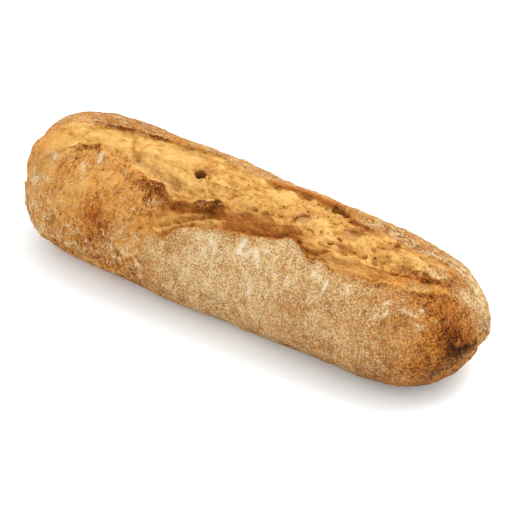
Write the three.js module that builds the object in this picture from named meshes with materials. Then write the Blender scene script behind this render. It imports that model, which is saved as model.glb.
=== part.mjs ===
// Wheat and rye loaf: a long hearth bread with one lengthwise cut that burst open in the oven.
// Millimetres, +Z up. X runs along the loaf, -Y is its front side, and its flat base lies on Z = 0.
// Angles are degrees around the loaf's spine, from 0 straight up, positive to the front.
import * as THREE from "three";
import { LoftGeometry } from "three/addons/geometries/LoftGeometry.js";
import { mergeVertices } from "three/addons/utils/BufferGeometryUtils.js";

const { clamp, degToRad, lerp, radToDeg, smoothstep } = THREE.MathUtils;

// Driving dimensions of the smooth loaf, before its relief
const LENGTH = 280;
const WIDTH = 88;
const HEIGHT = 68;
const SPINE_HEIGHT = 30;
const END_LENGTH = 44;
const OVAL_POWER = 2.15;

// From the left end to the right: width and height as shares, and how far the ground cuts off the oval
const WIDTH_SHARES = [0.97, 1.0, 0.98, 0.94, 0.86];
const HEIGHT_SHARES = [1.0, 1.0, 0.98, 0.96, 0.82];
const BASE_SINKS = [6, 7, 7, 5, 2];

// The upright seam that closes each rounded end, between the front lobe and the rear one
const LEFT_END = {
  offset: -18, lean: 0, low: 12, high: 52, lowBow: 0.3, highBow: 0.08, crease: 5, skew: 0.27, power: 2.3,
};
const RIGHT_END = {
  offset: 8, lean: -20, low: 14, high: 45, lowBow: 0.4, highBow: 0.44, crease: 5.5, skew: 0.16, power: 1.95,
};
const BOW_POWER = 3;
const LEAN_FROM = 0.45;
const CREASE_WIDTH = 5;

// Edges of the burst cut at even steps along the loaf, and the waves that make them ragged
const FRONT_RIM = [85, 43, 21, 31.5, 36, 27, 21.5, 29, 24, 9, -14];
const REAR_RIM = [16, 10, -13, -24, -26, -22, -28.5, -28, -26, -26, -30];
const CRUST_EDGE = [96, 60, 31, 43, 65, 44.5, 36.5, 34, 37, 23, 4];
const RAGGED = { angle: 1.6, short: 13, middling: 21, long: 27 };
const REAR_LIP_ANGLE = 7;
const OPEN = { from: -118, full: -98, fullTo: 78, to: 116 };

// How far the crumb lies below the torn crust at its front and rear edge, at the same steps
const FRONT_DROPS = [0, 0.5, 4.5, 6, 4, 2, 1, 1.5, 1, 0.5, 0];
const REAR_DROPS = [0, 1, 2.5, 3, 1.5, 1, 2.5, 3, 1.5, 0.5, 0];
const CRUMB_RISE = 2.6;
const CRUMB_EDGE_ANGLE = 2.5;
const LIP_SHARE = 0.4;
const LIP_FADE_ANGLE = 9;

// Forms of the crust: the torn lobe, the stretched band and its raised shard, the closed end grooves,
// and the slow waves of dough shaped by hand
const LOBE = { swell: 3, x: -78, reach: 28, angle: 58, spread: 34 };
const BAND = { drop: 3.5, from: -36, deepest: -30, slant: 0.4, to: 46, lip: 1 };
const SHARD = { rise: 2.5, x: -12, reach: 8, spread: 4 };
const GROOVE = { depth: 2.5, spread: 6 };
const SWELL = { height: 0.5, along: 107, around: 145 };
const RIPPLE = { height: 0.3, along: 60, around: 195 };
const GROUND_MARGIN = 0.01;

// Rows along the loaf, and columns around each half of it
const BODY_ROWS = 64;
const END_ROWS = 11;
const BASE_COLUMNS = 3;
const FRONT_SIDE_COLUMNS = 12;
const BAND_COLUMNS = 5;
const CRUMB_COLUMNS = 6;
const REAR_LIP_COLUMNS = 3;
const HALF_COLUMNS = BASE_COLUMNS + FRONT_SIDE_COLUMNS + BAND_COLUMNS + CRUMB_COLUMNS;
const REAR_SIDE_COLUMNS = HALF_COLUMNS - BASE_COLUMNS - REAR_LIP_COLUMNS - CRUMB_COLUMNS;
const CRUMB_CROWDING = 1.5;
const SEAM_CROWDING = 1.5;

const BODY_REACH = LENGTH / 2 - END_LENGTH;

// A smooth curve through evenly spaced values, from the loaf's left tip to its right one.
function along(values, x) {
  const at = clamp(x / LENGTH + 0.5, 0, 1) * (values.length - 1);
  const i = Math.min(Math.floor(at), values.length - 2);
  const t = at - i;
  const before = values[Math.max(i - 1, 0)];
  const after = values[Math.min(i + 2, values.length - 1)];
  const [from, to] = [values[i], values[i + 1]];
  const bend = 2 * before - 5 * from + 4 * to - after;
  const twist = 3 * (from - to) + after - before;
  return from + (t / 2) * (to - before + t * (bend + t * twist));
}

const bell = (distance, spread) => Math.exp(-((distance / spread) ** 2));

const wave = (at, length) => Math.sin((2 * Math.PI * at) / length);

// Half sizes of the oval section at x, before the ground cuts it off.
function ovalSizes(x) {
  const halfWidth = (WIDTH / 2) * along(WIDTH_SHARES, x);
  const crown = HEIGHT * along(HEIGHT_SHARES, x) - SPINE_HEIGHT;
  const belly = SPINE_HEIGHT + along(BASE_SINKS, x);
  return { halfWidth, crown, belly };
}

// The angle at which the oval meets the ground.
function baseEdgeAngle(x) {
  const { halfWidth, belly } = ovalSizes(x);
  const baseHalfWidth = halfWidth * (1 - (SPINE_HEIGHT / belly) ** OVAL_POWER) ** (1 / OVAL_POWER);
  return 180 - radToDeg(Math.atan2(baseHalfWidth, SPINE_HEIGHT));
}

// How open the cut is: 1 along the body, 0 at both ends.
function openness(x) {
  return smoothstep(x, OPEN.from, OPEN.full) * (1 - smoothstep(x, OPEN.fullTo, OPEN.to));
}

// The edges of the zones around the section at x.
function zoneAngles(x) {
  const baseEdge = baseEdgeAngle(clamp(x, -BODY_REACH, BODY_REACH));
  const ragged = RAGGED.angle * openness(x);
  const front = along(FRONT_RIM, x) + ragged * (wave(x, RAGGED.short) + wave(x, RAGGED.middling));
  const rear = along(REAR_RIM, x) + ragged * wave(x, RAGGED.long);
  const crustEdge = Math.max(along(CRUST_EDGE, x), front + LIP_FADE_ANGLE);
  return { baseEdge, crustEdge, front, middle: (front + rear) / 2, rear, rearLip: rear - REAR_LIP_ANGLE };
}

// The angle of every column at x, from the base up the rear and down the front. The first one runs along
// the base from one end's seam to the other's.
function columnAngles(x) {
  const zones = zoneAngles(x);
  const share = clamp(x / BODY_REACH, -1, 1) / 2 + 0.5;
  const under = radToDeg(Math.atan2(lerp(LEFT_END.offset, RIGHT_END.offset, share), SPINE_HEIGHT));
  const angles = [];
  const spread = (from, to, count, crowd = (t) => t) => {
    for (let i = 0; i < count; i++) angles.push(lerp(from, to, crowd(i / count)));
  };
  spread(under - 180, -zones.baseEdge, BASE_COLUMNS);
  spread(-zones.baseEdge, zones.rearLip, REAR_SIDE_COLUMNS);
  spread(zones.rearLip, zones.rear, REAR_LIP_COLUMNS);
  spread(zones.rear, zones.middle, CRUMB_COLUMNS, (t) => t ** CRUMB_CROWDING);
  spread(zones.middle, zones.front, CRUMB_COLUMNS, (t) => 1 - (1 - t) ** CRUMB_CROWDING);
  spread(zones.front, zones.crustEdge, BAND_COLUMNS);
  spread(zones.crustEdge, zones.baseEdge, FRONT_SIDE_COLUMNS);
  spread(zones.baseEdge, under + 180, BASE_COLUMNS);
  return angles;
}

// The smooth oval of the section, which the ground cuts off flat.
function ovalPoint(x, angle) {
  const [across, up] = [-Math.sin(degToRad(angle)), Math.cos(degToRad(angle))];
  const { halfWidth, crown, belly } = ovalSizes(x);
  const wide = Math.abs(across / halfWidth) ** OVAL_POWER;
  const tall = Math.abs(up / (up > 0 ? crown : belly)) ** OVAL_POWER;
  const oval = (wide + tall) ** (-1 / OVAL_POWER);
  const toGround = up < 0 ? -SPINE_HEIGHT / up : Infinity;
  const radius = Math.min(oval, toGround);
  return new THREE.Vector3(x, across * radius, SPINE_HEIGHT + up * radius);
}

// The seam's point at a share of its height.
function seamPoint(side, share) {
  const { offset, lean, low, high, lowBow, highBow } = side < 0 ? LEFT_END : RIGHT_END;
  const bow = 1 - (share < 0.5 ? lowBow : highBow) * Math.abs(2 * share - 1) ** BOW_POWER;
  const across = offset + lean * smoothstep(share, LEAN_FROM, 1);
  return new THREE.Vector3(side * (BODY_REACH + END_LENGTH * bow), across, lerp(low, high, share));
}

// The crumb that rose between the two edges of torn crust.
function crumbRelief(x, angle, { front, rear }) {
  const share = (front - angle) / (front - rear);
  const edge = share < 0.5 ? along(FRONT_DROPS, x) : along(REAR_DROPS, x);
  const sunk = lerp(along(FRONT_DROPS, x), along(REAR_DROPS, x), share);
  const inside = smoothstep(Math.min(front - angle, angle - rear), 0, CRUMB_EDGE_ANGLE);
  return CRUMB_RISE * 4 * share * (1 - share) + lerp(LIP_SHARE * edge, -sunk, inside);
}

// The stretched band between the crumb and the floury crust, with its torn left end and raised shard.
function bandRelief(x, angle, { crustEdge, front }) {
  const torn = smoothstep(x + BAND.slant * (angle - front), BAND.from, BAND.deepest);
  const open = torn * (1 - smoothstep(x, BAND.deepest, BAND.to));
  const inBand = 1 - smoothstep(angle, crustEdge - LIP_FADE_ANGLE, crustEdge);
  const lip = BAND.lip * bell(angle - crustEdge, LIP_FADE_ANGLE / 2);
  const shard = SHARD.rise * bell(x - SHARD.x, SHARD.reach) * bell(angle - front, SHARD.spread);
  return open * (lip - BAND.drop * inBand) + shard;
}

// The crust outside the cut, with its lips along both edges.
function crustRelief(x, angle, zones) {
  const { front, rear } = zones;
  const onFront = angle >= front;
  const edge = onFront ? along(FRONT_DROPS, x) : along(REAR_DROPS, x);
  const away = onFront ? angle - front : rear - angle;
  const lip = LIP_SHARE * edge * Math.exp(-away / LIP_FADE_ANGLE);
  const lobe = LOBE.swell * bell(x - LOBE.x, LOBE.reach) * bell(angle - LOBE.angle, LOBE.spread);
  return lip + lobe + (onFront ? bandRelief(x, angle, zones) : 0);
}

// Height of the crust and crumb above the smooth oval.
function relief(x, angle) {
  const zones = zoneAngles(x);
  const inCut = angle < zones.front && angle > zones.rear;
  const open = openness(x);
  const form = inCut ? crumbRelief(x, angle, zones) : crustRelief(x, angle, zones);
  const groove = GROOVE.depth * (1 - open) * bell(angle - zones.front, GROOVE.spread);
  const swell = SWELL.height * wave(x, SWELL.along) * wave(angle, SWELL.around);
  const ripple = RIPPLE.height * wave(x / RIPPLE.along + angle / RIPPLE.around, 1);
  return (inCut ? open : 1) * form - groove + swell + ripple;
}

// Each row of the loft: where it leaves the straight body, and how far it has turned into a rounded end.
function rowsAlong() {
  const rows = [];
  const turns = Array.from({ length: END_ROWS }, (_, i) => {
    return (Math.PI / 2) * (1 - (1 - (i + 1) / END_ROWS) ** SEAM_CROWDING);
  });
  for (const turn of turns.toReversed()) rows.push({ x: -BODY_REACH, turn });
  for (let i = 0; i <= BODY_ROWS; i++) {
    rows.push({ x: lerp(-BODY_REACH, BODY_REACH, i / BODY_ROWS), turn: 0 });
  }
  for (const turn of turns) rows.push({ x: BODY_REACH, turn });
  return rows;
}

function rowPoints({ x, turn }) {
  const side = Math.sign(x);
  const { crease, skew, power } = side < 0 ? LEFT_END : RIGHT_END;
  const reached = Math.sin(turn) ** (2 / power);
  const closed = 1 - Math.cos(turn) ** (2 / power);
  const place = x + side * END_LENGTH * reached;
  const spine = new THREE.Vector3(x, 0, SPINE_HEIGHT);
  return columnAngles(place).map((angle, column) => {
    const ring = ovalPoint(x, angle);
    const outward = ring.clone().sub(spine).normalize();
    if (ring.z > GROUND_MARGIN) ring.addScaledVector(outward, relief(place, angle));
    if (turn === 0) return ring;
    const share = 1 - Math.abs(1 - column / HALF_COLUMNS);
    const seam = seamPoint(side, share);
    const y = lerp(ring.y, seam.y, closed);
    const creased = bell(y - seam.y, CREASE_WIDTH) * closed * Math.sin(Math.PI * share) ** 2;
    const reach = lerp(x, seam.x - skew * y, reached) - side * crease * creased;
    return new THREE.Vector3(reach, y, lerp(ring.z, seam.z, closed));
  });
}

function makeLoaf() {
  const skin = new THREE.BufferGeometry().copy(new LoftGeometry(rowsAlong().map(rowPoints)));
  skin.deleteAttribute("normal");
  skin.deleteAttribute("uv");
  return mergeVertices(skin, 1e-3);
}

const crust = new THREE.MeshStandardMaterial({ color: 0xc08a4a, roughness: 0.85, metalness: 0 });

const bread = new THREE.Group();
const loaf = new THREE.Mesh(makeLoaf(), crust);
loaf.name = "loaf";
bread.add(loaf);

export default bread;
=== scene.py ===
# %% [markdown]
# # A wheat and rye loaf
# The real thing is a long hearth loaf. Before baking it was dusted with flour and cut once along its top,
# and in the oven the cut burst open: golden crumb rose between two lips of torn crust. The solid that is
# loaded here already has that form at its real size. This lesson rounds a copy of it, tears and pits it
# with modifiers, and gives it a crust that is toasted, floury and golden in the right places.

# %% Load the solid loaf
import math

import bpy
import numpy as np
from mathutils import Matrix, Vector


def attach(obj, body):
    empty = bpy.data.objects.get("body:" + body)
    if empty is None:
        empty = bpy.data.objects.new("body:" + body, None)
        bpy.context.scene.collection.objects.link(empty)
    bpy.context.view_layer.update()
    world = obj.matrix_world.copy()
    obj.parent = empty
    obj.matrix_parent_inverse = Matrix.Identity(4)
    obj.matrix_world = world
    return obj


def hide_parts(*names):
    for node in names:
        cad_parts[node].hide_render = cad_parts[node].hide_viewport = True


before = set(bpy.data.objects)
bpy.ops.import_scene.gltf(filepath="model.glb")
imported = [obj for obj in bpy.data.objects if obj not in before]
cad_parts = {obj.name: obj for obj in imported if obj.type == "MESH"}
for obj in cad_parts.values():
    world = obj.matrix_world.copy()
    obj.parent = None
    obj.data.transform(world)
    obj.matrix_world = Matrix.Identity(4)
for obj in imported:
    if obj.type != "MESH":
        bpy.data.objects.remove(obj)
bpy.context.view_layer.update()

# %% [markdown]
# ## The camera
# The photograph was taken with a long lens from the front right and a little above. A long lens keeps the
# far end nearly as large as the near one. The camera is put on a line through the middle of the loaf, and
# then both it and its aim are slid a few millimetres so that the loaf sits in the frame as it should.

# %% Camera at the photograph's angle
MM = 0.001
PHOTO_SIZE = 512
PIXELS_PER_MM = 1.925
AZIMUTH, ELEVATION = math.radians(36), math.radians(35)
CAMERA_DISTANCE = 1200 * MM
MIDDLE = Vector((0, 0, 33 * MM))
MIDDLE_PIXEL = (250.5, 243.3)

level = Vector((math.sin(AZIMUTH), -math.cos(AZIMUTH), 0))
back = level * math.cos(ELEVATION) + Vector((0, 0, math.sin(ELEVATION)))
right = Vector((math.cos(AZIMUTH), math.sin(AZIMUTH), 0))
up = back.cross(right)
slide = [(PHOTO_SIZE / 2 - pixel) / PIXELS_PER_MM * MM for pixel in MIDDLE_PIXEL]
aim = MIDDLE + right * slide[0] - up * slide[1]

bpy.ops.object.camera_add(location=aim + back * CAMERA_DISTANCE)
camera = bpy.context.object
camera.rotation_euler = (-back).to_track_quat("-Z", "Y").to_euler()
camera.data.lens = PIXELS_PER_MM * CAMERA_DISTANCE / MM / PHOTO_SIZE * camera.data.sensor_width
bpy.context.scene.camera = camera
print("lens in mm:", round(camera.data.lens, 1))

# %% [markdown]
# ## A smooth copy to work on
# The solid is made of loose triangles, and it stays as it is. Its mesh is copied, the corners are merged,
# and the triangles are paired into quads, because Subdivision Surface rounds quads evenly. Two levels give
# a point about every millimetre, fine enough for torn edges and pores.

# %% Copy, merge and round the loaf
ROUNDING_LEVELS = 2
MERGE_DISTANCE = 0.002 * MM

loaf = bpy.data.objects.new("wheat_rye_loaf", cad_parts["loaf"].data.copy())
bpy.context.collection.objects.link(loaf)
loaf.data.materials.clear()


def pick(piece):
    """Makes one object the only selected and active one."""
    bpy.ops.object.select_all(action="DESELECT")
    piece.select_set(True)
    bpy.context.view_layer.objects.active = piece


pick(loaf)
bpy.ops.mesh.customdata_custom_splitnormals_clear()
bpy.ops.object.mode_set(mode="EDIT")
bpy.ops.mesh.select_all(action="SELECT")
bpy.ops.mesh.remove_doubles(threshold=MERGE_DISTANCE)
bpy.ops.mesh.tris_convert_to_quads(face_threshold=math.pi, shape_threshold=math.pi)
bpy.ops.object.mode_set(mode="OBJECT")
rounding = loaf.modifiers.new("rounding", "SUBSURF")
rounding.levels = rounding.render_levels = ROUNDING_LEVELS
bpy.ops.object.modifier_apply(modifier="rounding")
bpy.ops.object.shade_smooth()
print("rounded loaf:", len(loaf.data.vertices), "points")

# %% [markdown]
# ## Where things are on a loaf
# A place on a loaf is easy to name by how far along it lies, and how far round: x in millimetres from the
# middle, and an angle in degrees from straight up, positive towards the front. The edges of the burst cut
# are curves of that angle along the loaf, through values at eleven even steps. The same curves shaped the
# solid, so everything painted or torn along them falls on its lips.

# %% Curves along the loaf
LOAF_LENGTH = 280
SPINE_HEIGHT = 30
FRONT_RIM = [85, 43, 21, 31.5, 36, 27, 21.5, 29, 24, 9, -14]
REAR_RIM = [16, 10, -13, -24, -26, -22, -28.5, -28, -26, -26, -30]
CRUST_EDGE = [96, 60, 31, 43, 65, 44.5, 36.5, 34, 37, 23, 4]
RAGGED = {"angle": 1.6, "short": 13, "middling": 21, "long": 27}
OPEN_FROM, OPEN_FULL, OPEN_FULL_TO, OPEN_TO = -118, -98, 78, 116
LIP_FADE_ANGLE = 9
FLAP = {"angle": 10.5, "from": 67, "to": 92, "soft": 28}


def along(values, at_x):
    """A smooth curve through even steps from the loaf's left tip to its right one."""
    values = np.asarray(values, float)
    at = np.clip(at_x / LOAF_LENGTH + 0.5, 0, 1) * (len(values) - 1)
    step = np.minimum(at.astype(int), len(values) - 2)
    share = at - step
    before, start, end, after = (values[np.clip(step + k, 0, len(values) - 1)] for k in (-1, 0, 1, 2))
    bend = 2 * before - 5 * start + 4 * end - after
    twist = 3 * (start - end) + after - before
    return start + share / 2 * (end - before + share * (bend + share * twist))


def ease(value, low, high):
    """0 below low, 1 above high, and a soft step between them."""
    share = np.clip((value - low) / (high - low), 0, 1)
    return share * share * (3 - 2 * share)


def between(value, low, high, soft):
    """1 between two limits, fading to 0 over a soft stretch outside them."""
    return ease(value, low - soft, low) * (1 - ease(value, high, high + soft))


def wave(at_x, length):
    """A wave between -1 and 1 along the loaf, of this length in mm."""
    return np.sin(2 * math.pi * at_x / length)


def cut_edges(at_x):
    """The angles of the cut's front rim, its rear rim and the floury crust's edge."""
    open_here = ease(at_x, OPEN_FROM, OPEN_FULL) * (1 - ease(at_x, OPEN_FULL_TO, OPEN_TO))
    torn_angle = RAGGED["angle"] * open_here
    front_waves = wave(at_x, RAGGED["short"]) + wave(at_x, RAGGED["middling"])
    front = along(FRONT_RIM, at_x) + torn_angle * front_waves
    rear = along(REAR_RIM, at_x) + torn_angle * wave(at_x, RAGGED["long"])
    rear = rear + FLAP["angle"] * between(at_x, FLAP["from"], FLAP["to"], FLAP["soft"])
    return front, rear, np.maximum(along(CRUST_EDGE, at_x), front + LIP_FADE_ANGLE)


# %% [markdown]
# ## How far every point is from the edges
# The finished edges leave the solid's curves by a few degrees. At the pocket the crumb is drawn back, and
# the edge of the floury crust with it. Beside the lobe that edge is pulled up, and between the two it hangs
# lower. The gaps below are distances from the edges in millimetres, positive on the crumb's side.

# %% Every point's place and gaps
CRUMB_TIP = 121


def vertex_points(mesh):
    """The places of a mesh's points in metres, one row each."""
    points = np.empty(len(mesh.vertices) * 3, np.float32)
    mesh.vertices.foreach_get("co", points)
    return points.reshape(-1, 3).astype(float)


x, depth, height = (vertex_points(loaf.data) / MM).T
angle = np.degrees(np.arctan2(-depth, height - SPINE_HEIGHT))
radius = np.hypot(depth, height - SPINE_HEIGHT)
front, rear, crust_edge = cut_edges(x)
front_nick = 4.8 * between(x, 41, 44, 4)
pulled_up = 7 * ease(x, -28, -22) * (1 - ease(x, -17, -3))
drawn_tight = 4.6 * between(x, 38, 46, 5)
slack = 2.2 * between(x, 6, 24, 6)
front_gap = np.radians(front - front_nick - angle) * radius
rear_gap = np.radians(angle - rear) * radius
band_gap = np.radians(crust_edge - (pulled_up + drawn_tight - slack) - angle) * radius
crumb_gap = np.minimum(np.minimum(front_gap, rear_gap), CRUMB_TIP - x)
print("points inside the cut:", int((crumb_gap > 0).sum()))

# %% [markdown]
# ## Lines and spots
# Folds, wrinkles and stretch marks are lines on the surface, and pores, scorches and clumps of flour are
# spots. Both are given by places on the loaf. Small helpers turn them into a strength for every point: 1 on
# the line or at the middle of the spot, fading to 0 over its width. Lists of them add up to a relief in
# millimetres, or to how brown or floury the bread is.

# %% Helpers for lines and spots
CREST_RADIUS = 36


def near(distance, width):
    """1 where a distance in mm is 0, fading to both sides over a width."""
    return np.exp(-(distance / width) ** 2)


def flat_map(at_x, at_angle):
    """Places laid out flat, in mm along the loaf and mm round it."""
    return np.stack([at_x, np.radians(at_angle) * CREST_RADIUS], axis=-1)


flat_places = flat_map(x, angle)


def line(width, *stops):
    """How close each point is to a line through the given places: 1 on it, fading over its width in mm."""
    corners = flat_map(*np.array(stops, float).T)
    nearest = np.full(len(flat_places), np.inf)
    for start, end in zip(corners[:-1], corners[1:]):
        step = end - start
        share = np.clip((flat_places - start) @ step / (step @ step), 0, 1)
        distance = np.linalg.norm(flat_places - start - share[:, None] * step, axis=1)
        nearest = np.minimum(nearest, distance)
    return near(nearest, width)


def spot(at_x, at_angle, long, wide, turn=0):
    """How close each point is to the middle of an oval spot with these half sizes in mm."""
    away = flat_places - flat_map(np.array(at_x), np.array(at_angle))
    cosine, sine = math.cos(math.radians(turn)), math.sin(math.radians(turn))
    lengthwise, crosswise = away @ [cosine, sine] / long, away @ [-sine, cosine] / wide
    return np.exp(-lengthwise * lengthwise - crosswise * crosswise)


def drawn(base, strokes):
    """A base value with lines of more or less of it: amount, width in mm, places."""
    for amount, width, places in strokes:
        base = base + amount * line(width, *places)
    return base


def painted(base, spots):
    """A base value with spots of more or less of it: x, angle, half sizes, a turn where needed, amount."""
    for *where, amount in spots:
        base = base + amount * spot(*where)
    return base


def weigh(name, weights):
    """Keeps a strength for each point as a vertex group, for modifiers."""
    group = loaf.vertex_groups.new(name=name)
    for index in np.flatnonzero(weights > 0.001):
        group.add([int(index)], float(min(weights[index], 1)), "REPLACE")


def note(name, values):
    """Keeps a value for each point as an attribute, for the material."""
    attribute = loaf.data.attributes.new(name, "FLOAT", "POINT")
    attribute.data.foreach_set("value", values.astype(np.float32))
    print(name, "from", round(float(values.min()), 2), "to", round(float(values.max()), 2))


# %% [markdown]
# ## Moving points with Displace
# A Displace modifier moves points by a texture, as strongly as a vertex group says. Without a texture it
# moves them by the group alone, so any relief that can be worked out per point can go through it. Every
# step is applied at once, and the next one then starts from the shape it left.

# %% Displace helpers
def cloud(name, size, detail=2, colour=False, creased=False):
    """A noise whose lumps are about this many mm across, soft or with sharp creases between them."""
    texture = bpy.data.textures.new(name, "CLOUDS")
    texture.noise_scale = size * MM
    texture.noise_depth = detail
    texture.noise_type = "HARD_NOISE" if creased else "SOFT_NOISE"
    texture.cloud_type = "COLOR" if colour else "GRAYSCALE"
    return texture


def displace(name, weights, strength, texture=None, direction="NORMAL", stretch=None):
    """Moves points by a texture, or all alike without one, as strongly as their weights say."""
    weigh(name, weights)
    modifier = loaf.modifiers.new(name, "DISPLACE")
    modifier.vertex_group = name
    modifier.strength = strength * MM
    modifier.mid_level = 0.5 if texture else 0
    modifier.direction = direction
    if texture:
        modifier.texture = texture
        modifier.texture_coords = "OBJECT" if stretch else "LOCAL"
    if stretch:
        bpy.ops.object.empty_add()
        bpy.context.object.scale = stretch
        modifier.texture_coords_object = bpy.context.object
        bpy.context.view_layer.update()
    helper = modifier.texture_coords_object
    pick(loaf)
    bpy.ops.object.modifier_apply(modifier=name)
    if helper:
        bpy.data.objects.remove(helper)


def relief(name, heights, direction="NORMAL"):
    """Moves each point out by its own height in mm, or in where that is negative."""
    for side, sign in (("raised", 1), ("sunk", -1)):
        amount = sign * heights
        most = amount.max()
        if most > 0:
            displace(f"{name} {side}", amount / most, sign * most, direction=direction)
    print(name, "from", round(float(heights.min()), 1), "to", round(float(heights.max()), 1), "mm")


# %% [markdown]
# ## Zones of the crust
# Each zone gets its own strength: the crumb, the band of stretched skin below it, the swollen lobe at the
# left, the crust behind the cut, and the crust everywhere else above the base.

# %% Zone strengths
LOBE_END, BAND_END = -38, 90

crumb = ease(crumb_gap, 0, 3)
past_lobe = ease(x - 0.4 * (60 - angle), LOBE_END - 6, LOBE_END + 2)
in_band = ease(-front_gap, -0.5, 1.5) * ease(band_gap, -1, 1.5)
in_band = in_band * past_lobe * (1 - ease(x, BAND_END, BAND_END + 12))
above_base = ease(height, 0.5, 8)
on_crust = (1 - crumb) * (1 - in_band) * above_base
behind = ease(-rear_gap, -1, 3)
on_lobe = (1 - ease(x, LOBE_END - 4, LOBE_END + 2)) * ease(-front_gap, -1, 3)
print("crumb, band and crust points:", [int((zone > 0.5).sum()) for zone in (crumb, in_band, on_crust)])

# %% [markdown]
# ## Folds, creases and torn edges
# The dough stretched as the cut opened. It left a raised, torn edge on the lobe, a scrap of crust standing
# on the band, long wrinkles in the band's skin, a pocket where the crumb bulges over the front crust, and
# creases that run out to both ends. Each is a line through places on the loaf, with a height and a width.

# %% Places of the folds that are painted later too
CREST = [(-103, 31), (-99, 27), (-95, 29), (-91, 26), (-86, 24), (-82, 28), (-76, 30)]
NOTCH = [(-104, 37), (-111.5, 46.5), (-117.3, 55.4), (-121, 60), (-131, 72)]
# The rear tear is painted later as toasted crust with a painted shadow under its lip.
REAR_TEAR = [(-99, -4), (-90.5, -9.5), (-85.5, -13.5), (-80, -17.5), (-72, -18.5), (-64, -22)]
LEFT_FOLD = [(-79, -9), (-75.7, 0.3), (-72.6, 7.9), (-68.9, 11.8)]
SKIN_LINE = [(-70.5, 2.7), (-69, -7.6), (-66.8, -15), (-61.4, -16.9)]
VALLEY = [(-70, 12), (-62, 16), (-56, 18.5), (-50, 21), (-44, 22), (-38, 25)]
TORN_CORNER = [(-49, 37.5), (-46, 36), (-42, 34.8), (-38.5, 35.8), (-36, 39.5), (-36, 44), (-37, 50)]
TOP_FOLD = [(-34, 46), (-29, 42.5), (-23, 40), (-17, 38), (-9, 35.5)]
SCRAP_TAIL = [(-33, 42), (-29, 38.5), (-25, 36), (-21, 34)]
UPPER_RIDGE = [(-33, 55), (-27, 50.5), (-21.6, 46.4), (-16.8, 42), (-11, 38.5)]
MIDDLE_FOLD = [(-31, 59), (-24.5, 53.5), (-19, 48), (-12, 42.5)]
LOWER_RIDGE = [(-33, 65), (-29.3, 61), (-26, 57.5), (-21, 53), (-15.5, 49), (-8, 44), (0, 41)]
RIDGE_FOOT = [(-28, 63.5), (-24.6, 58.8), (-20, 54.5), (-14, 51)]
POCKET = [(44, 31.5), (47.4, 33.6), (51.7, 35.5), (56, 34.8), (59.5, 31), (61.5, 27)]
POCKET_LIP = [(42.5, 27.5), (46, 30), (52, 32.4), (57, 31.8)]
POCKET_RIM = [(38, 19), (43.4, 23), (51.6, 28), (58, 30), (64.5, 31), (72, 29)]
RUDDY_FOLD = [(60, 19), (66, 18), (72, 17.6)]
CRACK = [
    (80.7, 28), (85.7, 26.5), (90.9, 24), (96, 20.6), (101, 17.2), (104.8, 14.6), (109.3, 11), (116, 1.5),
]
OLIVE = [(95, 23), (101, 19), (106, 15.5), (112, 11.5), (117, 3)]
# Under the crack at the right end lies a band of painted grey shade.
UPPER_STRIP = [(98, 25), (104, 22), (111.8, 17.9), (116, 12)]
STRIP = [(98, 29.5), (103, 26.5), (110, 23.5), (116, 17.5), (121, 8.5), (125, 1)]
BROWN_LINE = [(106, 33), (112.6, 29.5), (117.5, 25), (121, 19), (123.4, 12.5)]
SHORT_LINE = [(90, 39), (95.9, 35), (101, 32.4)]
END_CREASE = [(124, -1), (129, 5.8), (133.8, 10.4), (136.8, 19.8), (138.3, 56)]

# %% Folds: height and width in mm, places
LOBE_FOLDS = [
    (1.8, 1.6, CREST),
    (-0.5, 2.2, NOTCH[:3]),
    (-0.9, 2.8, NOTCH[2:]),
    (1.2, 2.2, [(-76, 31), (-66, 31), (-57, 34), (-49, 36), (-42, 38)]),
    (1.8, 2.0, TORN_CORNER),
    (1.4, 1.2, [(-39, 53), (-36.5, 58), (-38, 64)]),
    (-0.5, 1.1, [(-42, 56), (-40.5, 61), (-42, 66)]),
]
CRUMB_FOLDS = [
    (-2.4, 3.2, VALLEY),
    (-0.6, 1.1, LEFT_FOLD),
    (-0.4, 1.0, SKIN_LINE),
    (-0.6, 1.1, [(-75, -3), (-70, 4.6), (-68, 11)]),
    (0.9, 1.6, [(-73, 8), (-66, 2), (-56, 3)]),
    (-0.9, 1.2, [(-66, 8), (-58, 6), (-50, 8)]),
    (1.0, 1.2, [(-27, 10), (-20, 14), (-15, 19)]),
    (1.0, 1.1, [(-25, 8), (-15, 9), (-6, 7)]),
    (0.9, 1.1, [(-26, 4), (-16, 0), (-6, -1)]),
    (-0.9, 1.1, [(-22, 12), (-12, 13), (-2, 11)]),
    (-0.9, 1.1, [(-24, 6), (-14, 4.5), (-4, 3)]),
]
BAND_FOLDS = [
    (-1.5, 2.0, TOP_FOLD),
    (1.2, 1.6, SCRAP_TAIL),
    (1.4, 1.4, UPPER_RIDGE),
    (-1.3, 1.3, MIDDLE_FOLD),
    (1.6, 1.5, LOWER_RIDGE),
    (-1.2, 1.3, [(-32, 68), (-26, 63), (-21, 57), (-15, 52), (-8, 47)]),
    (-0.7, 1.1, POCKET),
    (1.2, 2.2, POCKET_RIM),
    (0.8, 1.0, POCKET_LIP),
    (-1.0, 2.0, [(60, 37), (70, 36), (80, 34)]),
]
RIGHT_END_FOLDS = [
    (-0.6, 1.2, CRACK),
    (-0.4, 2.2, STRIP),
    (-1.0, 1.1, BROWN_LINE),
    (-0.7, 1.0, SHORT_LINE),
    (-1.2, 1.4, END_CREASE),
]
LEFT_SWELL = (-122, -6, 12, 14, 2.0)

folds = drawn(0 * x, LOBE_FOLDS + CRUMB_FOLDS + BAND_FOLDS + RIGHT_END_FOLDS)
folds = painted(folds, [LEFT_SWELL])

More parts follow.
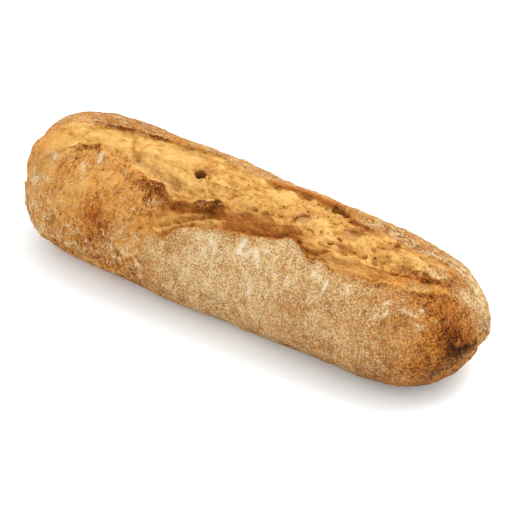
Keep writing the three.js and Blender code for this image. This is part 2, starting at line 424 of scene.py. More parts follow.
# %% Raised rims along the edges, with a groove beside them
flap_rim = between(x, 4, 70, 8)
crust_rim = between(x, -4, 44, 10)
folds += flap_rim * (1.0 * near(rear_gap + 1.6, 1.6) - 0.5 * near(rear_gap - 1.6, 1.4))
folds += crust_rim * (1.0 * near(band_gap + 1.2, 1.4) - 0.9 * near(band_gap - 1.2, 1.2))
folds += 0.9 * between(x, -4, 40, 5) * near(front_gap - 0.6, 1.2)
folds += 0.3 * pulled_up * near(band_gap + 2, 2.4)
relief("folds", folds * above_base)

# %% The scrap of crust that stands on the band
SCRAP_RISE = 2.8
SCRAP = (-11.5, 30.4, 10.6, 3.5, -12)

scrap = ease(spot(*SCRAP), 0.34, 0.66)
relief("scrap", SCRAP_RISE * scrap)

# %% [markdown]
# ## Holes and bubbles
# Gas opened holes as the crumb tore. The deep ones have steep walls, so their strength is cut off like a
# plateau. The shallow ones are burst bubbles with a thin grey skin on their floor. Later the left one gets
# a painted shadow under its rim and the right one a middle painted darker as shade.

# %% Holes in the crumb: x, angle, half length, half width, a turn where needed, depth
HOLES = [(-31.5, 2.0, 2.6, 2.4, 6.0), (-29.3, 5.2, 3.0, 2.6, 30, 6.5)]
SLITS = [
    (42.0, -26.4, 2.2, 1.7, 10, 1.2), (46.0, -25.6, 3.0, 2.0, 10, 1.4), (49.6, -24.8, 2.0, 1.5, 10, 1.3),
    (55.6, -19.8, 2.6, 2.0, 15, 1.4), (59.6, -18.2, 3.2, 2.2, 15, 1.6), (65.0, -16.2, 2.8, 1.7, 10, 1.2),
    (86.2, -9.5, 2.6, 1.0, 80, 1.4), (60.5, 13.0, 2.3, 0.8, 25, 1.3), (58.3, 20.6, 1.9, 0.7, -8, 1.0),
    (108.3, 2.1, 2.2, 1.7, 1.0),
]
PORES = [
    (-23.9, 2.7, 0.9, 0.8, 1.0), (-22.1, 20.4, 1.8, 1.0, 0.7), (-5.4, 13.3, 1.4, 1.2, 1.0),
    (10.8, 18.6, 1.6, 1.0, 20, 1.0), (17.2, 17.4, 1.2, 1.0, 1.0), (20.7, 16.9, 1.2, 1.0, 0.9),
    (23.0, -25.5, 3.0, 1.4, 1.2), (24.9, 13.9, 1.8, 1.2, 0.8), (38.1, -23.8, 1.6, 1.4, 0.8),
    (46.0, 4.5, 1.2, 1.6, 0.8), (52.0, -3.0, 2.0, 1.4, 0.9), (63.2, -2.6, 1.5, 1.2, 0.6),
    (77.8, 18.3, 0.9, 0.7, 0.8), (79.4, 9.1, 1.1, 1.0, 1.0), (81.6, 3.6, 1.2, 1.0, 0.9),
    (84.5, 19.7, 0.9, 0.7, 0.8), (85.6, -9.7, 1.3, 1.0, 1.2), (87.2, 7.6, 1.0, 0.8, 0.9),
    (89.8, 11.9, 1.2, 0.7, 30, 0.9), (92.7, -5.1, 1.2, 1.0, 1.0), (97.6, 10.6, 1.2, 0.7, 30, 0.9),
]
BUBBLES = [(35.8, 7.4, 4.2, 3.6, 10, 1.1), (63.8, -0.2, 4.2, 5.4, 0.9)]


def pits(pit_list, steep):
    """How deep each point lies in the given pits, in mm, and how far inside one it is, from 0 to 1."""
    deep, inside = np.zeros(len(x)), np.zeros(len(x))
    for *pit, pit_depth in pit_list:
        share = ease(spot(*pit), *steep)
        deep = np.maximum(deep, share * pit_depth)
        inside = np.maximum(inside, share)
    return deep, inside


hole_depths, hollow = pits(HOLES, (0.3, 0.55))
slit_depths, slit = pits(SLITS, (0.2, 0.6))
pore_depths, shadowed = pits(PORES, (0.15, 0.8))
bubble_depths, film = pits(BUBBLES, (0.18, 0.6))
relief("bubbles", -bubble_depths)
relief("holes", -np.maximum(np.maximum(hole_depths, slit_depths), pore_depths))

# %% [markdown]
# ## Grain
# The crumb, the stretched band and the crust get their own grain: billows and fibres, long wrinkles, and
# dents with creases and blisters. A noise is stretched along the loaf by reading it through a scaled empty.
# How far each point went in or out is kept, so that the valleys of the folds can be painted darker as
# shade.

# %% Grain: name, where, strength and lump size in mm, sharp creases or not, stretch
plain_crumb = crumb * (1 - hollow) * (1 - 0.6 * film)
lively = (0.45 + 0.55 * ease(x, -62, -24)) * ease(x, -124, -106)
grains = [
    ("billows", plain_crumb * (0.5 + 0.5 * lively), 3.0, 9, True, (1.5, 1, 1)),
    ("fibres", plain_crumb * lively, 2.0, 2.8, True, (1.8, 1, 1)),
    ("wrinkles", in_band * (1 - scrap), 2.0, 2.6, True, (4, 1, 1)),
    ("dents", on_crust, 2.0, 12, False, None),
    ("creases", on_crust * (0.35 + 0.65 * on_lobe), 2.0, 7, True, None),
    ("crinkles", on_crust * (0.3 + 0.7 * on_lobe), 1.0, 3.2, True, None),
    ("blisters", np.maximum(on_crust, scrap), 0.9, 2.4, False, None),
]

before_grain = vertex_points(loaf.data)
for name, weights, strength, size, creased, stretch in grains:
    displace(name, weights, strength, cloud(name, size, creased=creased), stretch=stretch)
outward = np.stack([0 * x, -np.sin(np.radians(angle)), np.cos(np.radians(angle))], axis=1)
grown = ((vertex_points(loaf.data) - before_grain) * outward).sum(axis=1) / MM
print("grain moved points by", round(float(grown.min()), 2), "to", round(float(grown.max()), 2), "mm")

# %% [markdown]
# ## Torn lips
# One Displace along Y pushes each lip out over the crumb, so that it overhangs and throws a thin dark
# shadow, as torn crust does. A coloured noise then moves the edges every way and makes them ragged.

# %% Lips that overhang
REAR_OVERHANG = [0, 0.5, 1.0, 1.4, 1.0, 0.6, 1.2, 1.0, 0.4, 0, 0]
FRONT_OVERHANG = [0, 0.8, 2.2, 2.4, 0.8, 0, 0, 0, 0.2, 0.2, 0]
CRUMB_OVERHANG = [0, 0, 0, 0, 0.3, 0.3, 0.5, 0.4, 0.3, 0, 0]
LIP_REACH, LIP_EDGE = 6, 1.4
TEAR_STRENGTH, TEAR_SIZE = 3.0, 2.8


def lip(gap, overhang):
    """Overhang of a torn lip: full at its edge, fading over the crust behind it."""
    return np.exp(np.minimum(gap, 0) / LIP_REACH) * (1 - ease(gap, 0, LIP_EDGE)) * along(overhang, x)


relief("rear lip", -lip(rear_gap, REAR_OVERHANG), direction="Y")
relief("front lip", lip(front_gap, FRONT_OVERHANG), direction="Y")
relief("crumb lip", -lip(-front_gap, CRUMB_OVERHANG), direction="Y")
torn = np.maximum(near(rear_gap, 2), near(front_gap, 2)) * between(x, -100, 84, 14)
torn = np.maximum(torn * (0.15 + 0.85 * (x < LOBE_END)), line(2.4, *TORN_CORNER))
torn = np.maximum(torn, 0.35 * scrap)
tears = cloud("tears", TEAR_SIZE, colour=True)
displace("torn edges", torn, TEAR_STRENGTH, tears, direction="RGB_TO_XYZ")
print("lips torn")

# %% [markdown]
# ## Painting by place
# The material needs to know where crumb, band, toasting, flour and painted shade are. Those are values per
# point, worked out from the same places. Distances are kept in millimetres, so that the material can draw
# sharp, ragged edges between the points.

# %% Crumb and band edges for the material
SOFT_EDGE = [12, 8, 1.6, 1.2, 3.0, 3.6, 3.4, 1.6, 2.2, 4, 6]
FARTHEST = 6

reach = np.minimum(crumb_gap, front_gap - 3.4 * ease(x, 88, 104)) + 4 * (1 - ease(x, -106, -98))
reach = np.minimum(reach, x + 115) - 9 * ease(x, 109, 122)
golden_end = 1.9 * line(3.6, *STRIP) * between(x, 106, 113, 8) - 0.95
crumb_edge = np.maximum(np.clip(reach / along(SOFT_EDGE, x), -FARTHEST, FARTHEST), golden_end)
note("crumb_edge", crumb_edge - 8 * scrap - 5 * line(1.8, *TORN_CORNER[:5]))

inside_band = np.minimum(np.minimum(-front_gap + 0.5, band_gap), 8 * (past_lobe - 0.5))
soft_end = 1 + 2.5 * (1 - ease(x, -24, -4))
band_edge = np.clip(inside_band / soft_end, -FARTHEST, FARTHEST) - 6 * ease(x, BAND_END, BAND_END + 14)
note("band_edge", band_edge - 8 * scrap)
# Painted shade: how far each point sank in the grain, darker in valleys and lighter on ridges.
note("valley", np.clip(-(grown - np.average(grown, weights=plain_crumb + 0.01)), -1.5, 1.5))
note("behind", behind)
note("lobe", on_lobe)
note("scorched", ease(x, 112, 126))

# %% [markdown]
# ## The colour of the crumb
# Fresh crumb is pale gold. It is browner along torn edges and in the grooves at the right end. Pores, the
# crumb under the rear lip and the bubbles get painted shade. It is grey where a thin skin dried over a
# bubble, and painted grey as shade along the valley behind the lobe and under the crack at the right end. A
# little flour fell on both its ends.

# %% Crumb from pale gold to brown
GOLD = [0.42, 0.38, 0.31, 0.29, 0.31, 0.32, 0.29, 0.30, 0.38, 0.44, 0.46]
GOLD_LINES = [
    # The rear tear: toasted crust, with a painted shadow under the lip.
    (0.30, 1.0, REAR_TEAR),
    (0.36, 0.9, LEFT_FOLD),
    (0.26, 0.8, SKIN_LINE),
    (0.30, 0.8, [(-100.9, 13.6), (-100.6, 3)]),
    (0.30, 1.0, [(-105.4, 18.9), (-112.4, 16), (-116.7, 19)]),
    (-0.12, 3.0, NOTCH[:3]),
    (0.05, 2.5, POCKET_RIM),
    (0.14, 1.6, RUDDY_FOLD),
    (0.04, 3.0, [(66, 22), (74, 19), (84, 18)]),
    (0.34, 1.3, CRACK),
    (0.06, 4.0, OLIVE),
    (0.36, 3.0, STRIP[:5]),
]
GOLD_SPOTS = [
    (-117.6, 39, 7, 4, 0.22), (-33, -4, 5, 3, 0.15), (45, 9, 8, 6, -0.1), (47, -20, 4, 2.4, 10, 0.2),
    (63, -12.5, 6, 2.6, 15, 0.3), (64, 20, 8, 3, 0.1), (72, 24, 6, 3, -0.12), (72.4, 3.5, 4, 3, 0.1),
    (74, 18, 9, 6, 0.05), (87, -6, 2, 3, 0.2), (108.3, 2.1, 2.8, 2.2, 0.3),
]
BUBBLE_SHADOW = [(33.8, 12.4), (33.5, 9.8), (34.1, 6.8), (35.2, 4.4), (36.6, 3.2)]
BUBBLE_CORE = (64.2, -2.8, 3.2, 3.6, 10)
BUBBLE_EYE = (62.9, -2.4, 2.6, 2.4)

gold = along(GOLD, x) + 0.26 * shadowed + 0.14 * near(crumb_gap, 2.2)
gold = gold + 0.34 * near(front_gap, 3.2) * between(x, -30, 44, 8)
# Painted shadow on the crumb under the rear lip, along the flap and at the left.
gold = gold + 0.32 * near(rear_gap - 0.6, 1.1) * between(x, 6, 72, 8)
gold = gold + 0.30 * near(rear_gap - 0.5, 1.2) * between(x, -92, -45, 10)
gold = painted(drawn(gold, GOLD_LINES), GOLD_SPOTS)
# Painted shade: a shadow under the left bubble's rim, a darker middle in the right one and a faint ring on
# their walls.
crescent, core_shade = line(1.5, *BUBBLE_SHADOW), spot(*BUBBLE_CORE)
bubble_wall_shade = 4 * film * (1 - film)
note("gold", gold + 0.7 * crescent + 0.8 * core_shade + 0.1 * bubble_wall_shade)
note("hollow", np.maximum(np.maximum(hollow, 0.46 * slit), 0.7 * spot(*BUBBLE_EYE)))

# %% Grey skin, painted grey shade, small pores and flour on the crumb
GREY_VALLEY = [(-80, 17), (-70, 15)] + VALLEY[1:]
GREY_PATCH = (-35, 21.5, 6, 1.8, -10)
DUSTY_SPOTS = [(111, -5, 5, 5, 0.35), (-110, 42, 2.4, 2.8, 0.9)]

# Grey skin over the bubbles, and painted grey shade along the valley behind the lobe, in a patch beside it
# and under the crack.
grey_skin_and_shade = np.maximum(film - 0.8 * crescent - 0.5 * core_shade, 0.6 * line(3.2, *GREY_VALLEY))
grey_skin_and_shade = np.maximum(grey_skin_and_shade, 0.6 * spot(*GREY_PATCH))
note("film", grey_skin_and_shade + 0.75 * line(2.4, *UPPER_STRIP))
note("pores", (0.35 + 0.65 * ease(x, -40, 40)) * (1 - ease(x, 106, 124)))
dust = 0.1 * (1 - ease(x, -116, -92)) + 0.32 * ease(x, 84, 112)
note("dust", painted(dust, DUSTY_SPOTS))

# %% [markdown]
# ## Browning
# The band is skin that stretched while it baked, so it has no flour. Its folds are painted darker as shade
# and its ridges lighter as highlight, with a painted shadow in the fold under the crumb's edge. The crust
# is toasted
# most where it stands up or out: on the crest, the torn corner, the scrap and the right tip, which is
# scorched.
# It is painted darker towards the bottom and along its foot as shade. A few thin edges have turned reddish.

# %% Browning of the stretched band, with painted shade in its folds and painted highlight on its ridges
# Folds painted darker as shade and ridges lighter as highlight: amount, width in mm, places.
BAND_SHADE_AND_HIGHLIGHT_LINES = [
    (0.24, 1.0, RIDGE_FOOT),
    (0.18, 2.4, TOP_FOLD),
    (0.20, 1.3, MIDDLE_FOLD),
    (0.12, 2.0, SCRAP_TAIL),
    (-0.24, 1.6, UPPER_RIDGE),
    (-0.32, 1.8, LOWER_RIDGE),
    (0.32, 1.0, POCKET),
    (-0.14, 0.9, POCKET_LIP),
]
BROWN_SPOTS = [
    (-36, 44, 3, 4, 0.1), (-34, 64, 6, 5, -0.1), (-28, 57, 11, 9, -0.1), (33, 29, 7, 4, 0.14),
]

browned = 0.62 + 0.12 * ease(x, -14, 4) - 0.28 * ease(x, 40, 50)
browned = browned + 0.08 * ease(x, 60, 74) - 0.1 * between(x, 64, 78, 6)
# A painted highlight along the band's rim under the crumb.
browned = browned - 0.18 * near(front_gap, 2.2) * between(x, -30, 44, 8)
note("browned", painted(drawn(browned, BAND_SHADE_AND_HIGHLIGHT_LINES), BROWN_SPOTS))

# %% Toasting of the crust, painted darker low on the loaf and along its foot as shade
TOAST = [0.42, 0.37, 0.28, 0.34, 0.50, 0.50, 0.50, 0.52, 0.56, 0.58, 0.62]
TOAST_AND_SHADE_LINES = [
    (0.14, 1.6, CREST),
    (-0.18, 2.5, NOTCH),
    # The rear tear: toasted crust, with a painted shadow under the lip.
    (0.30, 1.0, REAR_TEAR),
    (0.26, 2.4, TORN_CORNER[:5]),
    (0.12, 0.8, [(-37.5, 55), (-37.5, 59), (-35.5, 62)]),
    (0.20, 1.0, RIDGE_FOOT),
    (0.14, 1.2, CRACK),
    (0.04, 3.0, OLIVE),
    (-0.12, 1.5, STRIP),
    (0.26, 1.0, BROWN_LINE),
    (0.16, 0.9, SHORT_LINE),
    (0.05, 1.2, END_CREASE),
]
LOBE_TOAST = [
    (-114, 26, 12, 16, -0.16), (-101, 40, 7, 5, 0.24), (-101, 28, 4.5, 2.0, 0.12),
    (-100, -25, 14, 12, 0.05), (-92.6, 28, 4, 1.6, 0.2), (-90, 80, 6, 5, 0.06), (-88, 60, 16, 10, 0.02),
    (-86.6, 25, 3, 1.6, 0.28), (-79, 50, 6, 5, 0.04), (-77, 42, 14, 10, -0.08), (-72, 96, 24, 14, 0.13),
    (-72, 78, 4, 7, 0.12), (-71.5, 97, 4, 8, 0.1), (-69, 71, 8, 7, 0.36), (-66, 76, 4, 4, 0.14),
    (-66, 64, 4, 4, -0.1), (-66, 31, 8, 2.5, 12, 0.12), (-54, 35, 8, 3.0, 15, 0.22),
    (-49, 81, 4, 4, 0.08), (-47.2, 37, 3.5, 3, -0.26), (-41, 38, 6, 4, 0.25), (-40, 60, 9, 6, -0.18),
]
TIP_TOAST = [
    (105.7, 35, 4, 3, -0.06), (108, 77, 9, 6, -0.05), (115, 37, 5, 4, 0.12), (118, 93, 5, 5, -0.14),
    (119, 32, 12, 7, -25, -0.05), (121, -4, 5, 8, -0.14), (124.5, 96, 7, 5, 0.12), (125, 42, 11, 14, 0.14),
    (125, 82, 4, 5, 0.08), (126.6, 113, 5, 5, 0.1), (129.7, 97, 4, 4, -0.14), (131, 56, 8, 12, 0.1),
    (131.8, 39, 4, 7, 0.1), (132, 100, 8, 10, 0.2), (133, -20, 6, 14, 0.06), (134.5, 66, 5, 10, 0.12),
    (135, -90, 4, 8, 0.35), (136, 78, 3, 8, 0.12), (136, 80, 5.2, 16, 0.32),
]

rear_ridge = near(rear_gap + 0.9, 0.9) * between(x, 4, 36, 6)
rear_strip = near(rear_gap + 4, 3.2) * between(x, 62, 112, 10)
# Just behind the rear rim at the left: toasted torn crust and a painted shadow under the lip.
torn_rim = near(rear_gap + 0.3, 1.2) * between(x, -92, -30, 10)
rim_line = near(band_gap + 0.3, 0.9) * between(x, -34, 66, 8)
# Darker towards the bottom and along the foot: painted shade.
toast = along(TOAST, x) + 0.18 * ease(-height, -40, -6) + 0.15 * (1 - ease(height, 3, 12))
rear_toast = 0.59 - 0.06 * between(x, -60, 60, 30) + 0.08 * ease(x, 64, 90)
toast = toast * (1 - behind) + rear_toast * behind
toast = toast + 0.40 * scrap + 0.30 * torn_rim + 0.18 * rim_line + 0.1 * rear_strip - 0.05 * rear_ridge
note("toast", painted(drawn(toast, TOAST_AND_SHADE_LINES), LOBE_TOAST + TIP_TOAST))

# %% Reddish edges
EMBER_LINES = [
    (0.30, 1.4, RUDDY_FOLD),
    (0.12, 2.4, TORN_CORNER[:5]),
    (0.60, 2.0, [(57, -15.5), (62, -13.8), (67, -12)]),
]
EMBER_PATCH = (-69, 71, 8, 7, 0.5)

rear_edge = near(rear_gap + 0.4, 0.9) * between(x, 6, 58, 8)
ember = 0.75 * rear_edge + 0.4 * rim_line * between(x, 28, 40, 10)
note("ember", painted(drawn(ember, EMBER_LINES), [EMBER_PATCH]))

# %% [markdown]
# ## Flour
# Flour lies thick on the front below the edge of the crust and behind the cut, and thin on the lobe and at
# the tips. It has short white strokes where it was brushed on, thicker dabs, and golden places where it was
# rubbed off.

# %% Flour by place
FRONT_FLOUR = [0.56, 0.27, 0.08, 0.16, 0.57, 0.68, 0.66, 0.58, 0.48, 0.35, 0.28]
FLOUR_STROKES = [
    (0.30, 1.0, [(-89.6, 38.3), (-85.7, 45.5), (-82.9, 52.5)]),
    (0.26, 1.2, [(-1.9, 52.4), (1.8, 55.8), (4.5, 58.1), (4.5, 62.5)]),
    (0.42, 0.9, [(18.5, 44.7), (16.7, 51.2), (16.7, 54.3), (18.9, 55.4)]),
    (0.28, 0.8, [(20.5, 54.6), (23, 51.7), (26.1, 48.5)]),
    (0.36, 0.9, [(26.5, 50.5), (29.4, 56), (30, 60)]),
    (0.20, 1.4, [(28.5, 74.8), (29.3, 81.2)]),
    (-0.25, 1.3, [(43.5, 53), (45.5, 60)]),
    (0.34, 1.0, [(68.7, 51), (68.3, 56.6)]),
    (0.42, 0.9, [(97.6, 55.6), (99.7, 62.4)]),
    (0.50, 0.8, [(100.6, 47.8), (103.7, 56.9)]),
    (0.50, 1.1, [(108.5, 48.6), (112.5, 48.4), (117.6, 49)]),
    (-0.30, 4.0, OLIVE),
    (-0.20, 2.0, STRIP[:4]),
]
LOBE_FLOUR = [
    (-116, 50, 4, 4, 0.2), (-115, 62, 8, 6, 0.2), (-110, 42, 2.4, 2.8, 0.9), (-107, 101, 7, 6, 0.2),
    (-100.7, 39, 6, 4, 0.12), (-87, 44, 2.5, 7, 0.2), (-87, 104, 7, 5, 0.12), (-85, 100, 20, 12, 0.2),
    (-81.5, 31, 1.8, 3.0, 0.9), (-79, 50, 6, 5, -0.1), (-69, 71, 8, 7, -0.26), (-61.7, 90, 4, 5, 0.16),
    (-60, 78, 7, 9, 0.2), (-56, 74, 4, 7, 0.14), (-47, 38, 3, 3, 0.15), (-46, 90, 7, 5, 0.14),
    (-44, 37, 7, 5, -0.26), (-42, 50, 5, 4, 0.2), (-40, 60, 9, 6, -0.4), (-37, 50, 4, 3, 0.2),
]
FRONT_DABS = [
    (-34, 75, 5, 4, 0.14), (-20.5, 68, 5, 9, -0.2), (-12.2, 60.5, 5, 5, -0.16), (-3.5, 57, 4, 4, -0.1),
    (10, 49.4, 5, 3, -0.2), (15, 67.5, 6, 4, -0.2), (22.8, 45, 3.5, 2.2, -0.25),
    (25.2, 41.7, 1.4, 1.2, 0.3), (42, 33.5, 3, 2.5, 0.14), (49.5, 59.7, 3.5, 2.0, 0.25),
    (54, 78.6, 8, 4, -0.2), (60, 63, 5, 5, -0.16), (60.4, 48.6, 1.5, 1.2, 0.35), (63.6, 62, 5, 4, 0.12),
    (64.4, 51.8, 1.5, 1.5, 0.38), (80, 50, 2, 4, 30, 0.25), (95, 95, 20, 10, 0.1),
]
TIP_FLOUR = [
    (117.8, 42.6, 1.6, 1.4, 0.55), (119, 27, 11, 5, -25, -0.22), (120.6, 56.2, 2.2, 2.0, 0.5),
    (121, -4, 5, 8, 0.15), (124.5, 96, 7, 5, -0.2), (125, -45, 12, 20, 0.2), (125.5, 46.1, 1.6, 1.4, 0.5),
    (126.8, -12, 3, 4, 0.34), (127, 46, 10, 14, -0.22), (131, -8, 6, 9, 0.1), (133, -20, 6, 14, 0.26),
    (136, 66, 7, 13, -0.6),
]
SCRAP_STREAK = [(-15.2, 34.7), (-13.6, 30), (-10, 28)]

# Less flour low on the front: with the toast there, painted shade towards the bottom.
flour = along(FRONT_FLOUR, x) * (0.72 + 0.28 * ease(height, 12, 50))
rear_flour = 0.65 - 0.14 * between(x, 40, 58, 10) - 0.1 * between(x, -108, -62, 14)
flour = flour * (1 - behind) + rear_flour * behind
flour = flour * (0.6 + 0.4 * ease(-band_gap, 0, 5))
flour = painted(drawn(flour, FLOUR_STROKES), LOBE_FLOUR + FRONT_DABS + TIP_FLOUR)
flour = flour * (1 - in_band) * (1 - scrap) - 0.4 * rear_ridge - 0.2 * rim_line + 0.12 * rear_strip
note("flour", flour + scrap * (0.02 + 0.34 * line(1.2, *SCRAP_STREAK)))

# %% [markdown]
# ## Sums with sockets
# A procedural finish is mostly sums of noises and masks. This class wraps a socket so that such sums can be
# written as plain Python: an operator adds a Math node, and one method adds any other node.

# %% A socket that can be added and multiplied
class Signal:
    """One socket of a material, ready for sums."""

    def __init__(self, socket):
        self.socket = socket

    def node(self, kind, settings=None, sockets=None, output=0):
        """Adds a node: its settings first, then the values or links of its sockets."""
        tree = self.socket.id_data
        node = tree.nodes.new(kind)
        for name, value in (settings or {}).items():
            if name == "stops":
                for at, colour in value[1:-1]:
                    node.color_ramp.elements.new(at)
                for element, (at, colour) in zip(node.color_ramp.elements, value):
                    element.position, element.color = at, colour
            else:
                setattr(node, name, value)
        for name, value in (sockets or {}).items():
            if isinstance(value, Signal):
                tree.links.new(value.socket, node.inputs[name])
            else:
                node.inputs[name].default_value = value
        return Signal(node.outputs[output])

    def sum(self, operation, first, second):
        """A Math node of two values or signals."""
        return self.node("ShaderNodeMath", {"operation": operation}, {0: first, 1: second})

    def __add__(self, other):
        return self.sum("ADD", self, other)

    def __sub__(self, other):
        return self.sum("SUBTRACT", self, other)

    def __rsub__(self, other):
        return self.sum("SUBTRACT", other, self)

    def __mul__(self, other):
        return self.sum("MULTIPLY", self, other)

    __radd__ = __add__
    __rmul__ = __mul__

    def step(self, low, high):
        """0 below low, 1 above high, and a soft step between them."""
        settings = {"interpolation_type": "SMOOTHSTEP", "clamp": True}
        limits = {"Value": self, "From Min": low, "From Max": high}
        return self.node("ShaderNodeMapRange", settings, limits)

    def mix(self, first, second):
        """A colour between two others, with this signal as the share of the second."""
        settings = {"data_type": "RGBA", "clamp_factor": True}
        return self.node("ShaderNodeMix", settings, {0: self, 6: first, 7: second}, output=2)


def shade(red, green, blue):
    """A colour as seen on a screen, 0 to 255, turned into the light that a surface reflects."""
    channels = [value / 255 for value in (red, green, blue)]
    return [v / 12.92 if v < 0.04045 else ((v + 0.055) / 1.055) ** 2.4 for v in channels] + [1]


# %% [markdown]
# ## The finish
# One material covers the loaf. It reads the values that were noted on the points, and adds noise on Object
# coordinates for everything finer: mottled browning, flour in clumps of grains, golden mottled crumb with
# small pores, and streaks along the stretched band.

# %% Material with its noted values and noises
finish = bpy.data.materials.new("bread_crust")
finish.use_nodes = True
tree = finish.node_tree
surface = tree.nodes["Principled BSDF"]
place = Signal(tree.nodes.new("ShaderNodeTexCoord").outputs["Object"])


def noted(name):
    """A value that was noted on the points."""
    return place.node("ShaderNodeAttribute", {"attribute_name": name}, output=2)


def noise(size, detail=2, rough=0.5, stretch=(1, 1, 1), offset=0):
    """A noise of about this grain in mm, around 0, longer along the axes where stretch is above 1."""
    moved = {0: place, 1: [1 / (size * MM * s) for s in stretch], 2: [offset] * 3}
    where = place.node("ShaderNodeVectorMath", {"operation": "MULTIPLY_ADD"}, moved)
    grain = {"Vector": where, "Scale": 1, "Detail": detail, "Roughness": rough}
    return place.node("ShaderNodeTexNoise", {}, grain) - 0.5


def tinted(tone, stops):
    """A colour that runs through the stops as the tone goes from 0 to 1."""
    return tone.node("ShaderNodeValToRGB", {"stops": stops}, {"Fac": tone})


def thin_lines(pattern, width):
    """1 on the lines where a noise passes through 0, fading over the given step of it."""
    return 1 - pattern.node("ShaderNodeMath", {"operation": "ABSOLUTE"}, {0: pattern}).step(0, width)


grit = noise(0.8, 2, 0.7, offset=27)
fine = noise(1.3, 3, 0.75)
ragged = noise(1.6, 3, 0.6)
blotch = noise(3.5, 3, 0.6)
patch = noise(16, 2, 0.5)
# Painted shade and highlight from the grain: darker in its valleys, lighter on its ridges.
valley = noted("valley")
lobe_here = noted("lobe")
flour_here = noted("flour")

# %% Toasted crust: mottled, with pale crinkles, dark cracks and short streaks on the lobe, and painted shade in the grain's valleys
CRUST_STOPS = [
    (0.0, shade(208, 158, 88)), (0.30, shade(194, 134, 63)), (0.55, shade(150, 90, 31)),
    (0.78, shade(101, 51, 11)), (1.0, shade(48, 21, 3)),
]
toast_and_shade_here = noted("toast")
evened = 1 - toast_and_shade_here.step(0.72, 0.95) * noted("scorched") * 0.65
mottled = ((toast_and_shade_here * 0.9 + 0.1) * blotch + patch * 0.4) * evened
wrinkle = noise(5, 2, 0.6, stretch=(1, 1, 2), offset=6)
small_wrinkle = noise(3, 2, 0.6, stretch=(1, 1, 2), offset=9)
streaky = noise(1.3, 3, 0.75, stretch=(1, 2.6, 2.6), offset=25) * lobe_here
crinkle = (thin_lines(wrinkle, 0.035) + thin_lines(small_wrinkle, 0.03)) * lobe_here
crack = thin_lines(noise(6, 3, 0.6, offset=20), 0.03) * (lobe_here * 0.7 + 0.3)
speckled = fine * (1.4 - lobe_here * 0.8) + streaky * 1.1 + grit * 0.8
browning = toast_and_shade_here + valley * 0.2 + mottled + speckled - crinkle * 0.18 + crack * 0.2
ruddy = noise(7, 3, 0.6, offset=14).step(0.0, 0.2) * (0.5 - flour_here)
crust_colour = ruddy.mix(tinted(browning, CRUST_STOPS), shade(168, 98, 44))

# %% Golden crumb with painted shade in its valleys and pores, and grey skin and painted grey shade over it
CRUMB_STOPS = [
    (0.0, shade(212, 172, 104)), (0.30, shade(199, 154, 85)), (0.60, shade(174, 121, 57)),
    (1.0, shade(106, 62, 24)),
]
PORE_SPACING = 2.4 * MM
cells = place.node("ShaderNodeTexVoronoi", {}, {"Vector": place, "Scale": 1 / PORE_SPACING})
chosen = noise(2.6, 0, offset=8).step(0.0, 0.1)
pore = (1 - cells.step(0.1, 0.32)) * chosen * noted("pores")
lush = noise(8, 3, 0.55, offset=3)
web = noise(1.8, 3, 0.65, stretch=(1.6, 1, 1))
gold_tone = noted("gold") + valley * 0.26 + lush * 0.7 + web * 0.85 + fine * 0.5 + pore * 0.4
greyed = (noted("film") + ragged * 0.8 + web * 0.8).step(0.2, 0.9) * 0.62
crumb_with_skin_and_shade = greyed.mix(tinted(gold_tone, CRUMB_STOPS), shade(140, 100, 64))

# %% Stretched band, with painted shade in the grain's valleys
BAND_STOPS = [
    (0.0, shade(211, 168, 96)), (0.35, shade(183, 131, 66)), (0.65, shade(144, 82, 26)),
    (1.0, shade(80, 42, 12)),
]
streak = noise(1.6, 3, 0.6, stretch=(5, 1, 1))
band_colour = tinted(noted("browned") + valley * 0.22 + streak * 0.7 + fine * 0.6, BAND_STOPS)

# %% All zones together
is_crumb = (noted("crumb_edge") + ragged * 1.8).step(-0.4, 0.5)
is_band = (noted("band_edge") + ragged * 3.0 + blotch * 3.0).step(-0.8, 0.8)
mixed = is_crumb.mix(is_band.mix(crust_colour, band_colour), crumb_with_skin_and_shade)
plain = (noted("ember") * (1 + ragged * 1.6)).mix(mixed, shade(160, 80, 28))

# %% Flour in clumps of grains
clump = noise(4.5, 3, 0.65, offset=11)
swept = noise(2.2, 3, 0.6, stretch=(2.6, 1, 1), offset=2) * noted("behind")
smeared = noise(3, 3, 0.6, stretch=(1, 2.5, 2.5), offset=17)
patchy = (clump * 0.9 + smeared * 1.1) * flour_here + clump * 0.8 * lobe_here + swept * 1.3
# Flour thins in the grain's valleys as painted shade.
on_skin = (flour_here + patchy + crinkle * 0.33 - valley * 0.06) * (1 - is_band) * (1 - is_crumb)
density = on_skin + noted("dust") * is_crumb
grain = noise(0.95, 3, 0.8, offset=5) * (1 - lobe_here * 0.7) + streaky * 0.7
floury = (grain * 1.4 + density * 0.44 - 0.24).step(-0.09, 0.1)
flour_colour = (clump * 0.6 + density).step(0.2, 0.6).mix(shade(208, 160, 108), shade(215, 181, 132))
veiled = (density * 1.8 - 0.42).mix(plain, shade(150, 118, 74))
thick = density.step(0.66, 1.0).mix(flour_colour, shade(216, 199, 170))
dusted = (floury * 0.9).mix(veiled, thick)

# %% Shadowed hollows
HOLLOW_STOPS = [(0.0, shade(172, 112, 46)), (0.5, shade(122, 72, 24)), (1.0, shade(66, 36, 12))]
hollow_here = noted("hollow")
holed = hollow_here.step(0.08, 0.4).mix(dusted, tinted(hollow_here + ragged * 0.5, HOLLOW_STOPS))
tree.links.new(holed.socket, surface.inputs["Base Color"])

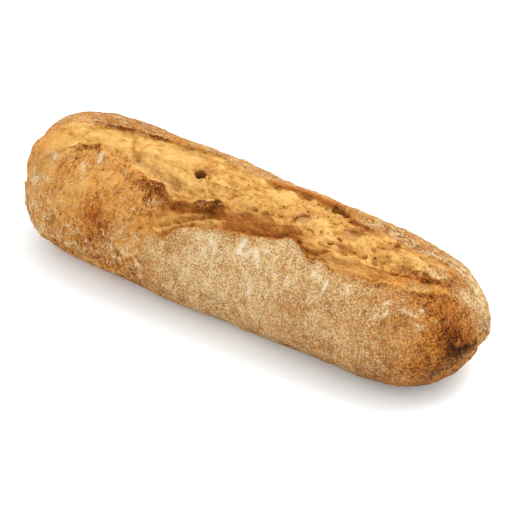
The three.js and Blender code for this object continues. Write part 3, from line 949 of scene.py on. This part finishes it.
# %% Sheen and fine relief
GRAIN_HEIGHT, FLOUR_HEIGHT, CRUMB_HEIGHT, PORE_DEPTH = 0.55 * MM, 0.12 * MM, 0.6 * MM, 0.8 * MM
FAINT_SHEEN = 0.06
dull = 0.78 + floury * 0.15 - is_band * 0.2
tree.links.new(dull.socket, surface.inputs["Roughness"])
surface.inputs["Specular IOR Level"].default_value = FAINT_SHEEN
crust_height = fine * GRAIN_HEIGHT + blotch * (GRAIN_HEIGHT * 2) + floury * FLOUR_HEIGHT
crumb_height = noise(1.4, 3, 0.6) * CRUMB_HEIGHT - pore * PORE_DEPTH
total = crust_height * (1 - is_crumb) + crumb_height * is_crumb
bump = place.node("ShaderNodeBump", {}, {"Height": total, "Distance": 1.0, "Strength": 1.0})
tree.links.new(bump.socket, surface.inputs["Normal"])
loaf.data.materials.append(finish)
print("finish made of", len(tree.nodes), "nodes")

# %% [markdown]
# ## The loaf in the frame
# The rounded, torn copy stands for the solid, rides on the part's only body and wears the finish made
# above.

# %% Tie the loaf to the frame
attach(loaf, "root")
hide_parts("loaf")

# %% [markdown]
# ## Floor and studio light
# A white floor, an even bright surround and one large soft lamp behind the loaf leave only a soft shadow at
# its front foot, as on a product table. The paper glows very faintly, which keeps that shadow light.

# %% Floor, surround and lamp
FLOOR_SIZE = 6
PAPER_WHITE, PAPER_GLOW, GLOW_STRENGTH = (0.9, 0.945, 0.97, 1), (1, 0.96, 0.92, 1), 0.08
SURROUND_STRENGTH = 1.3
LAMP_PLACE = Vector((0.2, 0.45, 1.0))
LAMP_POWER, LAMP_SIZE = 8, 0.9

bpy.ops.mesh.primitive_plane_add(size=FLOOR_SIZE)
floor = bpy.context.object
floor.name = "studio_floor"
paper = bpy.data.materials.new("white_paper")
paper.use_nodes = True
paper_surface = paper.node_tree.nodes["Principled BSDF"].inputs
paper_surface["Base Color"].default_value = PAPER_WHITE
paper_surface["Roughness"].default_value = 1
paper_surface["Specular IOR Level"].default_value = 0
paper_surface["Emission Color"].default_value = PAPER_GLOW
paper_surface["Emission Strength"].default_value = GLOW_STRENGTH
floor.data.materials.append(paper)

surround = bpy.data.worlds.new("bright_surround")
surround.use_nodes = True
surround_light = surround.node_tree.nodes["Background"].inputs
surround_light["Color"].default_value = (1, 1, 1, 1)
surround_light["Strength"].default_value = SURROUND_STRENGTH
bpy.context.scene.world = surround
bpy.ops.object.light_add(type="AREA", location=LAMP_PLACE)
lamp = bpy.context.object
lamp.data.energy, lamp.data.size = LAMP_POWER, LAMP_SIZE
lamp.rotation_euler = (MIDDLE - LAMP_PLACE).to_track_quat("-Z", "Y").to_euler()
bpy.context.scene.view_settings.view_transform = "Standard"
print("lit by a surround of", SURROUND_STRENGTH, "and a lamp of", LAMP_POWER, "watts")
